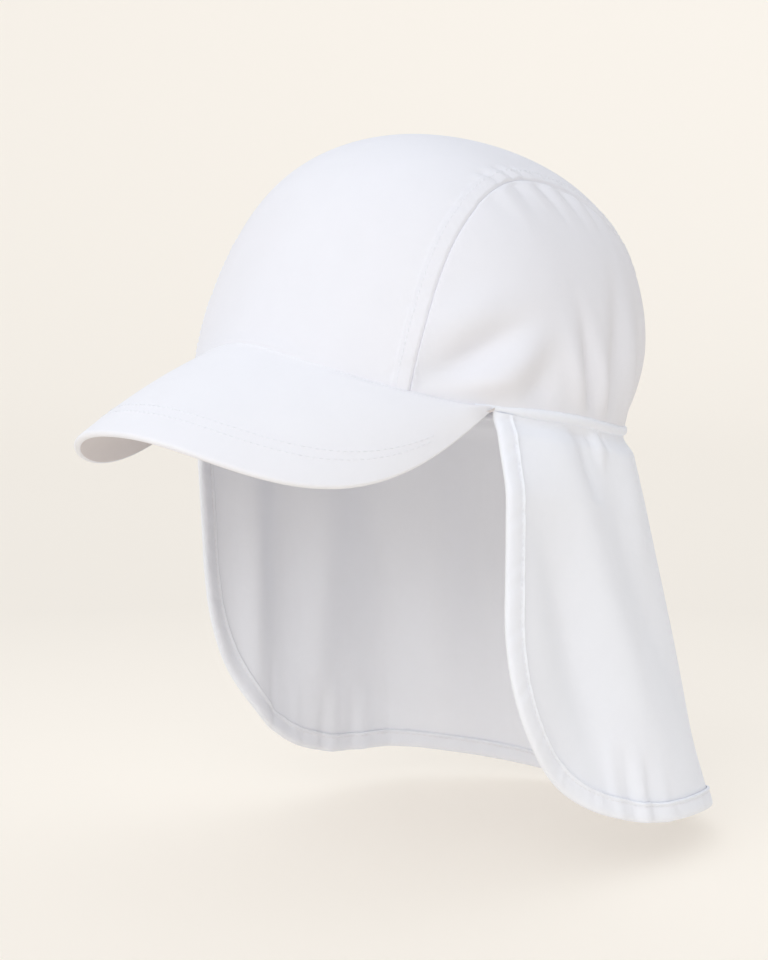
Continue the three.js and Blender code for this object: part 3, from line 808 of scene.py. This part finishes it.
def flap_frame(turn, fall, depth):
    """Point, unit normal, and the two steps of the flap's surface for a unit of turn and of fall."""
    step = 1e-4
    point = flap_point(turn, fall, depth)
    turned = flap_point(turn + step, fall, depth) - flap_point(turn - step, fall, depth)
    fallen = flap_point(turn, fall + step, depth) - flap_point(turn, fall - step, depth)
    per_turn, per_fall = turned / (2 * step), fallen / (2 * step)
    return point, unit(np.cross(per_fall, per_turn)), per_turn, per_fall


def inset_place(turn, fall, distance, depth):
    """Places on the flap a distance in from each outline place, square to the outline.

    The inward vector is solved for its share of the two surface steps, and no place rises over the rim.
    """
    point, normal, per_turn, per_fall = flap_frame(turn, fall, depth)
    along = np.gradient(point, axis=0)
    inward = unit(np.cross(normal, along))
    inward = inward * np.sign(dot(inward, np.array(FLAP_MIDDLE) - point))
    mixed = dot(per_turn, per_fall)
    spread = dot(per_turn, per_turn) * dot(per_fall, per_fall) - mixed**2
    by_turn, by_fall = dot(per_turn, inward), dot(per_fall, inward)
    turn_step = (by_turn * dot(per_fall, per_fall) - by_fall * mixed) / spread
    fall_step = (by_fall * dot(per_turn, per_turn) - by_turn * mixed) / spread
    fallen = np.clip(fall[:, None] + fall_step * distance, *FLAP_INSET_FALLS)
    return turn[:, None] + turn_step * distance, fallen


def flap_points(sizes):
    """Flap's middle surface over (fall, turn), from one edge inside the binding to the other."""
    fall = np.linspace(0, 1, FLAP_GRID[0])
    depth = sizes.flap_fold_depth
    edge = flap_edge_turn(fall)
    inset_turn, inset_fall = inset_place(edge, fall, np.array([FLAP_EDGE_INSET]), depth)
    start, level = inset_turn[:, 0], inset_fall[:, 0]
    level = np.where(fall == fall[-1], level, np.minimum(fall, level[-1]))
    across = np.linspace(0, 1, FLAP_GRID[1])[None, :]
    turn = lerp(start[:, None], 2 * np.pi - start[:, None], across)
    return flap_point(turn, np.broadcast_to(level[:, None], turn.shape), depth)


def binding_rings(sizes):
    """Rings along the flap's outline: both faces of the folded strip by inset and height, puckered."""
    turn, fall, run = flap_outline(sizes.flap_fold_depth)
    outer, lower_layer = BINDING_PROFILE, BINDING_LINING
    insets = (outer["inset"], outer["inset"][::-1], lower_layer["inset"][::-1], lower_layer["inset"])
    inset = np.concatenate(insets)
    further_in = smoothstep(outer["inset"], *BINDING_INSIDE_RANGE)
    inner = outer["height"] * lerp(1, BINDING_INSIDE_SHARE, further_in)
    inner_lining = lower_layer["height"] * BINDING_INSIDE_SHARE
    height = np.concatenate([outer["height"], -inner[::-1], -inner_lining[::-1], lower_layer["height"]])
    short_wave = wander(run[:, None] + inset * MM * 0.5, 9 * MM, seed=21)
    long_wave = wander(run[:, None], 31 * MM, seed=5)
    pucker = BINDING_SHORT_PUCKER * short_wave + BINDING_LONG_PUCKER * long_wave
    places = inset_place(turn, fall, inset * MM, sizes.flap_fold_depth)
    point, normal, _, _ = flap_frame(*places, sizes.flap_fold_depth)
    face = np.sign(height) * smoothstep(np.abs(height), 0.3, 1.2) * smoothstep(inset, 0, 1.5)
    lift = (height + np.abs(face) * pucker) * MM
    return point + normal * lift[..., None]


def stitch_row(path, normals):
    """Stitches along a path: short rods, u from -1 to 1 along each, raised by R (rise - arch u^4).

    Their radius is R sqrt(1 + blunt - u^4), so that both ends dip into the cloth.
    """
    run = lengths(path[None], 1)[0]
    middles = np.arange(STITCH_SPACING, run[-1] - STITCH_SPACING, STITCH_SPACING)
    along = np.linspace(-1, 1, STITCH_RINGS)
    at = middles[:, None] + along * STITCH_LENGTH / 2
    centre = np.stack([np.interp(at, run, path[:, axis]) for axis in range(3)], -1)
    normal = unit(np.stack([np.interp(at, run, normals[:, axis]) for axis in range(3)], -1))
    side = unit(np.cross(normal, np.gradient(centre, axis=1)))
    radius = STITCH_RADIUS * np.sqrt(1 + STITCH_BLUNT - along**4)[None, :, None, None]
    rise = STITCH_RADIUS * (STITCH_RISE - STITCH_ARCH * along**4)[None, :, None, None]
    angle = (np.arange(STITCH_SIDES) * 2 * np.pi / STITCH_SIDES)[None, None, :, None]
    raised = normal[:, :, None] * (rise + radius * np.sin(angle))
    return centre[:, :, None] + raised + side[:, :, None] * radius * np.cos(angle)


def stitch_piece(name, rows, material):
    """One piece from rows of stitches, each stitch closed at both ends."""
    rings = np.concatenate(rows)
    count, long, around = rings.shape[:3]
    number = np.arange(count * long * around).reshape(count, long, around)
    quads = (number[:, :1, :1] + grid_quads(long, around, closed=True)).reshape(-1, 4)
    ends = [*number[:, 0, ::-1], *number[:, -1]]
    steps = np.stack(np.meshgrid(np.arange(around), np.arange(long)), -1).reshape(-1, 2)
    cloth = np.tile(steps * MM / 3, (count, 1))
    return make_piece(name, rings.reshape(-1, 3), quads, cloth, material, ends)


def row_place(points, run, distance):
    """Places on each row of a grid a distance along it."""
    after = np.argmax(run >= distance, axis=1)
    row = np.arange(len(points))
    low, high = run[row, after - 1], run[row, after]
    share = (distance - low) / (high - low)
    return lerp(points[row, after - 1], points[row, after], share[:, None])


def band_stitches(sizes):
    """Rows of stitches along both folded bands of the centre panel."""
    points = centre_panel_points(sizes)
    normals = grid_normals(points, CROWN_MIDDLE)
    rows = []
    for grid, facing in ((points, normals), (points[:, ::-1], normals[:, ::-1])):
        run = lengths(grid, 1)
        distance = sizes.band_width - BAND_STITCH_INSET
        rows.append(stitch_row(row_place(grid, run, distance), row_place(facing, run, distance)))
    return rows


def binding_stitches(sizes):
    """Rows of stitches beside the binding's inner edge, on both of its faces."""
    turn, fall, _ = flap_outline(sizes.flap_fold_depth)
    inset, height = (value * MM for value in BINDING_STITCH)
    turn, fall = inset_place(turn, fall, np.array([inset]), sizes.flap_fold_depth)
    point, normal, _, _ = flap_frame(turn[:, 0], fall[:, 0], sizes.flap_fold_depth)
    keep = slice(BINDING_STITCH_SKIP, -BINDING_STITCH_SKIP)
    inside = height * BINDING_INSIDE_SHARE
    rows = ((point + normal * height, normal), (point - normal * inside, -normal))
    return [stitch_row(path[keep], facing[keep]) for path, facing in rows]


def peak_stitches():
    """Rows of stitches over the peak, side by side at shares of the way from the crown to the edge."""
    share = np.linspace(-PEAK_STITCH_REACH, PEAK_STITCH_REACH, PEAK_STITCH_GRID[0])
    out = np.linspace(0, 1, PEAK_STITCH_GRID[1])
    grid = peak_top(*np.broadcast_arrays(share[:, None], out[None, :]))
    normals = grid_normals(grid, PEAK_MIDDLE)
    columns = [int((len(out) - 1) * row) for row in PEAK_STITCH_ROWS]
    return [stitch_row(grid[:, column], normals[:, column]) for column in columns]


class Signal:
    """A number that varies over a surface. Python's operators on it add the Math nodes."""

    def __init__(self, shader, socket):
        self.shader = shader
        self.socket = socket

    def math(self, operation, *others):
        return self.shader.math(operation, self, *others)

    def __add__(self, other):
        return self.math("ADD", other)

    __radd__ = __add__

    def __rsub__(self, other):
        return self.shader.math("SUBTRACT", other, self)

    def __mul__(self, other):
        return self.math("MULTIPLY", other)

    __rmul__ = __mul__

    def __truediv__(self, other):
        return self.math("DIVIDE", other)


class Shader:
    """A material's node tree, with one method for every node."""

    def __init__(self, name):
        self.material = bpy.data.materials.new(name)
        self.material.use_nodes = True
        self.tree = self.material.node_tree
        self.tree.nodes.clear()

    def node(self, kind, settings=None, values=None):
        """Adds a node: its settings first, then the values or links of its sockets."""
        made = self.tree.nodes.new(kind)
        for name, value in (settings or {}).items():
            setattr(made, name, value)
        for name, value in (values or {}).items():
            if isinstance(value, Signal):
                self.tree.links.new(value.socket, made.inputs[name])
            else:
                made.inputs[name].default_value = value
        return made

    def signal(self, kind, output, settings=None, values=None):
        """One output of a new node."""
        return Signal(self, self.node(kind, settings, values).outputs[output])

    def math(self, operation, *values):
        """A Math node on numbers and signals."""
        return self.signal("ShaderNodeMath", 0, {"operation": operation}, dict(enumerate(values)))

    def mix(self, share, first, second):
        """A Mix node between two colours."""
        settings = {"data_type": "RGBA", "clamp_factor": True}
        return self.signal("ShaderNodeMix", 2, settings, {0: share, 6: first, 7: second})

    def noise(self, vector, size, detail):
        """Noise of about 0 to 1 whose blots are the given size in metres."""
        values = {"Vector": vector, "Scale": 1 / size, "Detail": detail, "Roughness": 0.55}
        return self.signal("ShaderNodeTexNoise", "Fac", None, values)

    def surface(self, values, fixed, height):
        """Closes the tree with a bump of a height in millimetres and a Principled shader."""
        relief = {"Strength": 1.0, "Distance": MM, "Height": height}
        bump = self.signal("ShaderNodeBump", "Normal", None, relief)
        principled = self.node("ShaderNodeBsdfPrincipled", None, {**fixed, **values, "Normal": bump})
        output = self.node("ShaderNodeOutputMaterial")
        self.tree.links.new(principled.outputs[0], output.inputs["Surface"])
        return self.material


def shade(colour, amount):
    """A colour times an amount, with full alpha."""
    return tuple(float(part) * amount for part in colour[:3]) + (1.0,)


def woven_cloth(name, colour, thread_spacing, crease):
    """Plain woven cloth: threads over and under, soft creases of a height in millimetres, faint blots."""
    shader = Shader(name)
    cloth = shader.signal("ShaderNodeUVMap", "UV", {"uv_map": "Cloth"})
    parts = shader.node("ShaderNodeSeparateXYZ", None, {0: cloth})
    across, down = (Signal(shader, parts.outputs[axis]) for axis in (0, 1))
    place = shader.signal("ShaderNodeTexCoord", "Object")
    turns = 2 * math.pi / thread_spacing
    weave = (across * turns).math("SINE") * (down * turns).math("SINE")
    fine = shader.noise(place, CLOTH_GRAIN, 3.0)
    creases = shader.noise(place, CLOTH_CREASE, 2.5)
    blots = shader.noise(place, CLOTH_BLOT, 2.0)
    tone = 0.5 * blots + 0.3 * creases + 0.2 * fine + 0.05 * weave
    colours = shader.mix(tone, *(shade(colour, amount) for amount in CLOTH_SHADES))
    roughness = 0.82 + 0.1 * fine
    height = 0.018 * weave + 0.05 * fine + crease * creases
    fixed = {"Sheen Weight": 0.03, "Sheen Roughness": 0.5, "Specular IOR Level": 0.12}
    return shader.surface({"Base Color": colours, "Roughness": roughness}, fixed, height)


def sewing_thread(name, colour):
    """Twisted polyester thread: slanting ply lines, a little glossier than the cloth."""
    shader = Shader(name)
    place = shader.signal("ShaderNodeTexCoord", "Object")
    parts = shader.node("ShaderNodeSeparateXYZ", None, {0: place})
    across, along, up = (Signal(shader, parts.outputs[axis]) for axis in range(3))
    ply = ((across + along + up) * (2 * math.pi / THREAD_PLY)).math("SINE")
    tone = 0.5 + 0.3 * ply + 0.2 * shader.noise(place, 3 * MM, 2.0)
    colours = shader.mix(tone, *(shade(colour, amount) for amount in THREAD_SHADES))
    fixed = {"Sheen Weight": 0.05, "Specular IOR Level": 0.35}
    return shader.surface({"Base Color": colours, "Roughness": 0.5 + 0.1 * ply}, fixed, 0.02 * ply)


def studio_surface(name, colour, glow):
    """Smooth pale paper, lighter near the cap as painted light over the cap's shadow, that also glows a
    little, so that it stays even.
    """
    shader = Shader(name)
    place = shader.signal("ShaderNodeTexCoord", "Object")
    grain = shader.noise(place, 3 * MM, 2.0)
    away = shader.signal("ShaderNodeVectorMath", "Value", {"operation": "LENGTH"}, {0: place})
    # Painted light: the paper's colour, and with it its glow, rises towards the cap over the cap's shadow.
    near = 1.0 - away / PAPER_LIGHT_POOL_RADIUS
    colours = shader.mix(near + 0.01 * grain, shade(colour, 1.0), shade(colour, PAPER_PAINTED_LIGHT))
    fixed = {"Roughness": 0.9, "Specular IOR Level": 0.1, "Emission Strength": glow}
    return shader.surface({"Base Color": colours, "Emission Color": colours}, fixed, 0.002 * grain)


def size_setting(name, millimetres):
    """A property for a length."""
    return FloatProperty(name=name, default=millimetres * MM, unit="LENGTH", precision=5)


def colour_setting(name, value):
    """A property for a colour."""
    return FloatVectorProperty(name=name, default=value, subtype="COLOR", min=0, max=1)


def power_setting(name, value):
    """A property for a light's strength."""
    return FloatProperty(name=name, default=value, min=0)


class CapSizes(bpy.types.PropertyGroup):
    """Sizes of the cap's cloth, folds and seams."""

    crown_cloth: size_setting("Thickness of the crown's cloth", 0.9)
    flap_cloth: size_setting("Thickness of the neck flap's cloth", 0.8)
    thread_spacing: size_setting("Length of one over and under of the weave", 0.45)
    crown_fold_depth: size_setting("Depth that the crown's folds take their share of", 5.0)
    flap_fold_depth: size_setting("Depth that the flap's folds take their share of", 4.2)
    seam_depth: size_setting("How far the crown's panels turn in at their seam", 0.75)
    band_width: size_setting("Width of the folded band beside the crown's seam", 7.5)
    band_height: size_setting("How far the folded band stands up", 0.4)


class CapColours(bpy.types.PropertyGroup):
    """Colours of the cap's cloths and of the studio."""

    crown: colour_setting("Crown cloth", (0.855, 0.855, 0.9))
    peak: colour_setting("Peak cloth", (0.9, 0.9, 0.94))
    # Underside of the peak: the peak's cloth made darker and warmer as painted shade.
    lower_layer: colour_setting("Underside of the peak", (0.74, 0.70, 0.70))
    # Flap and trim share one colour: the cloth's own white, made lighter than the crown's as painted light
    # for the shade inside the flap.
    flap: colour_setting("Neck flap cloth", (0.905, 0.925, 0.985))
    trim: colour_setting("Piping and binding", (0.905, 0.925, 0.985))
    thread: colour_setting("Sewing thread", (0.88, 0.885, 0.93))
    studio: colour_setting("Floor and backdrop", (0.62, 0.583, 0.53))


class StudioLight(bpy.types.PropertyGroup):
    """Strengths of the studio's lights."""

    key: power_setting("Soft light from the upper left of the camera", 0.6)
    lift: power_setting("Broad light from high up in front", 1.48)
    sky: power_setting("Even light from all round", 0.35)
    front: power_setting("Low soft light from beside the camera", 0.95)
    glow: power_setting("Share of its own light in the floor and backdrop", 0.47)


class CAP_OT_centre_panel(bpy.types.Operator):
    """Make the crown's centre panel with its folded seam bands"""

    bl_idname = "cap.centre_panel"
    bl_label = "Centre panel"

    def execute(self, context):
        sizes, colours = context.scene.cap_sizes, context.scene.cap_colours
        cloth = woven_cloth("crown_centre_cloth", colours.crown, sizes.thread_spacing, crease=0.22)
        points = centre_panel_points(sizes)
        piece = cloth_shell(
            "centre_panel_cloth", points, sizes.crown_cloth, CROWN_MIDDLE, cloth
        )
        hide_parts("crown_centre_panel")
        return {"FINISHED"}


class CAP_OT_side_panels(bpy.types.Operator):
    """Make the crown's two side panels with their folds and gathers"""

    bl_idname = "cap.side_panels"
    bl_label = "Side panels"

    def execute(self, context):
        sizes, colours = context.scene.cap_sizes, context.scene.cap_colours
        cloth = woven_cloth("crown_side_cloth", colours.crown, sizes.thread_spacing, crease=0.26)
        for name, side in (("left", 1), ("right", -1)):
            points = side_panel_points(side, sizes)
            piece = cloth_shell(
                f"side_panel_{name}_cloth", points, sizes.crown_cloth, CROWN_MIDDLE, cloth
            )
            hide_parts(f"crown_side_panel_{name}")
        return {"FINISHED"}


class CAP_OT_peak(bpy.types.Operator):
    """Make the stiff peak with its rounded edge"""

    bl_idname = "cap.peak"
    bl_label = "Peak"

    def execute(self, context):
        sizes, colours = context.scene.cap_sizes, context.scene.cap_colours
        cloth = woven_cloth("peak_cloth", colours.peak, sizes.thread_spacing, crease=0.1)
        # The peak's underside gets a darker copy of its cloth, as painted shade.
        lower_layer = woven_cloth("peak_underside_painted_shade", colours.lower_layer, sizes.thread_spacing, crease=0.1)
        rings = peak_rings()
        lower_layer_start = (rings.shape[1] + PEAK_NOSE_POINTS) // 2
        piece = swept_loop("peak_leaf", rings, cloth, lower_layer, lower_layer_start)
        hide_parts("peak")
        return {"FINISHED"}


class CAP_OT_piping(bpy.types.Operator):
    """Make the rolled piping along the rim"""

    bl_idname = "cap.piping"
    bl_label = "Rim piping"

    def execute(self, context):
        sizes, colours = context.scene.cap_sizes, context.scene.cap_colours
        cloth = woven_cloth("piping_cloth", colours.trim, sizes.thread_spacing, crease=0.08)
        piece = swept_loop("rim_piping_roll", piping_rings(), cloth)
        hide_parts("rim_piping")
        return {"FINISHED"}


class CAP_OT_neck_flap(bpy.types.Operator):
    """Make the hanging neck flap and the binding folded over its edge"""

    bl_idname = "cap.neck_flap"
    bl_label = "Neck flap"

    def execute(self, context):
        sizes, colours = context.scene.cap_sizes, context.scene.cap_colours
        # The flap's cloth carries painted light: its colour is lighter than the crown's to make up for the
        # shade inside the flap.
        cloth = woven_cloth("flap_cloth", colours.flap, sizes.thread_spacing, crease=0.28)
        trim = woven_cloth("binding_cloth", colours.trim, sizes.thread_spacing, crease=0.1)
        points = flap_points(sizes)
        normals = grid_normals(points, FLAP_MIDDLE)
        outer = points + normals * sizes.flap_cloth / 2
        piece = cloth_shell(
            "neck_flap_cloth", outer, sizes.flap_cloth, FLAP_MIDDLE, cloth
        )
        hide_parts("neck_flap")
        binding = swept_loop("flap_binding_fold", binding_rings(sizes), trim)
        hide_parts("flap_binding")
        return {"FINISHED"}


class CAP_OT_stitches(bpy.types.Operator):
    """Make the stitches along the seam bands, the peak and the binding"""

    bl_idname = "cap.stitches"
    bl_label = "Stitches"

    def execute(self, context):
        sizes, colours = context.scene.cap_sizes, context.scene.cap_colours
        thread = sewing_thread("sewing_thread", colours.thread)
        stitch_piece("band_stitches", band_stitches(sizes), thread)
        stitch_piece("peak_stitches", peak_stitches(), thread)
        stitch_piece("binding_stitches", binding_stitches(sizes), thread)
        return {"FINISHED"}


class CAP_OT_studio(bpy.types.Operator):
    """Make the camera, the pale floor that curves up into a backdrop, and the soft lights"""

    bl_idname = "cap.studio"
    bl_label = "Studio"

    def execute(self, context):
        light, colours = context.scene.cap_light, context.scene.cap_colours
        set_camera()
        paper = studio_surface("studio_paper", colours.studio, light.glow)
        make_backdrop(paper)
        make_sun("key_light", light.key, **KEY_LIGHT)
        make_sun("lift_light", light.lift, **LIFT_LIGHT)
        make_sun("front_light", light.front, **FRONT_LIGHT)
        world = bpy.data.worlds.new("studio_sky")
        world.use_nodes = True
        background = world.node_tree.nodes["Background"]
        background.inputs["Color"].default_value = shade(LIGHT_COLOUR, 1.0)
        background.inputs["Strength"].default_value = light.sky
        context.scene.world = world
        context.scene.view_settings.view_transform = "Standard"
        return {"FINISHED"}


def direction(azimuth, elevation):
    """Unit vector towards an azimuth from the front and an elevation, in degrees."""
    a, e = math.radians(azimuth), math.radians(elevation)
    return Vector((math.sin(a) * math.cos(e), -math.cos(a) * math.cos(e), math.sin(e)))


def aim(made, back):
    """Turns a camera or a light so that it looks against a direction."""
    made.rotation_mode = "QUATERNION"
    made.rotation_quaternion = (-back).to_track_quat("-Z", "Y")


def set_camera():
    """Camera at the photograph's angle, as far off as its perspective asks."""
    data = bpy.data.cameras.new("camera")
    data.lens = CAMERA_LENS
    data.sensor_width = CAMERA_SENSOR
    camera = add_object("camera", data)
    a = math.radians(CAMERA_AZIMUTH)
    target = Vector((math.cos(a), math.sin(a), 0)) * CAMERA_ACROSS + Vector((0, 0, CAMERA_LEVEL))
    back = direction(CAMERA_AZIMUTH, CAMERA_ELEVATION)
    camera.location = target + back * CAMERA_DISTANCE
    aim(camera, back)
    bpy.context.scene.camera = camera


def make_backdrop(material):
    """Floor over (radius, turn): level near the cap, then rising as rise (r - start)^2 into a backdrop."""
    radius = np.linspace(0, 1, BACKDROP_GRID[0])[:, None] ** 1.5 * BACKDROP_RADIUS
    turn = np.linspace(0, 2 * np.pi, BACKDROP_GRID[1], endpoint=False)[None, :]
    radius, turn = np.broadcast_arrays(radius[1:], turn)
    level = FRAME_LOW.z - FLOOR_GAP + BACKDROP_RISE * np.maximum(radius - BACKDROP_START, 0) ** 2
    rings = np.stack([radius * np.sin(turn), radius * np.cos(turn), level], -1)
    faces = grid_quads(*radius.shape, closed=True)[:, ::-1].tolist()
    middle = list(range(radius.shape[1]))
    mesh = bpy.data.meshes.new("studio_floor")
    mesh.from_pydata(rings.reshape(-1, 3).tolist(), [], faces + [middle])
    mesh.shade_smooth()
    mesh.materials.append(material)
    add_object("studio_floor", mesh)


def make_sun(name, power, azimuth, elevation, spread):
    """Soft light from a direction, as wide as its spread in degrees."""
    data = bpy.data.lights.new(name, "SUN")
    data.energy = power
    data.color = LIGHT_COLOUR
    data.angle = math.radians(spread)
    aim(add_object(name, data), direction(azimuth, elevation))


class CAP_PT_panel(bpy.types.Panel):
    """Lists the steps that make the cap"""

    bl_idname = "CAP_PT_panel"
    bl_label = "Legionnaire cap"
    bl_space_type = "VIEW_3D"
    bl_region_type = "UI"
    bl_category = "Cap"

    def draw(self, context):
        for group in (context.scene.cap_sizes, context.scene.cap_colours, context.scene.cap_light):
            for name in group.__annotations__:
                self.layout.prop(group, name)
        for step in STEPS:
            self.layout.operator(step.bl_idname)


STEPS = (
    CAP_OT_studio,
    CAP_OT_centre_panel,
    CAP_OT_side_panels,
    CAP_OT_peak,
    CAP_OT_piping,
    CAP_OT_neck_flap,
    CAP_OT_stitches,
)
CLASSES = (CapSizes, CapColours, StudioLight, *STEPS, CAP_PT_panel)


def register():
    for item in CLASSES:
        bpy.utils.register_class(item)
    bpy.types.Scene.cap_sizes = bpy.props.PointerProperty(type=CapSizes)
    bpy.types.Scene.cap_colours = bpy.props.PointerProperty(type=CapColours)
    bpy.types.Scene.cap_light = bpy.props.PointerProperty(type=StudioLight)


def unregister():
    del bpy.types.Scene.cap_sizes, bpy.types.Scene.cap_colours, bpy.types.Scene.cap_light
    for item in reversed(CLASSES):
        bpy.utils.unregister_class(item)


def main():
    register()
    bpy.ops.cap.studio()
    bpy.ops.cap.centre_panel()
    bpy.ops.cap.side_panels()
    bpy.ops.cap.peak()
    bpy.ops.cap.piping()
    bpy.ops.cap.neck_flap()
    bpy.ops.cap.stitches()


if __name__ == "__main__":
    main()
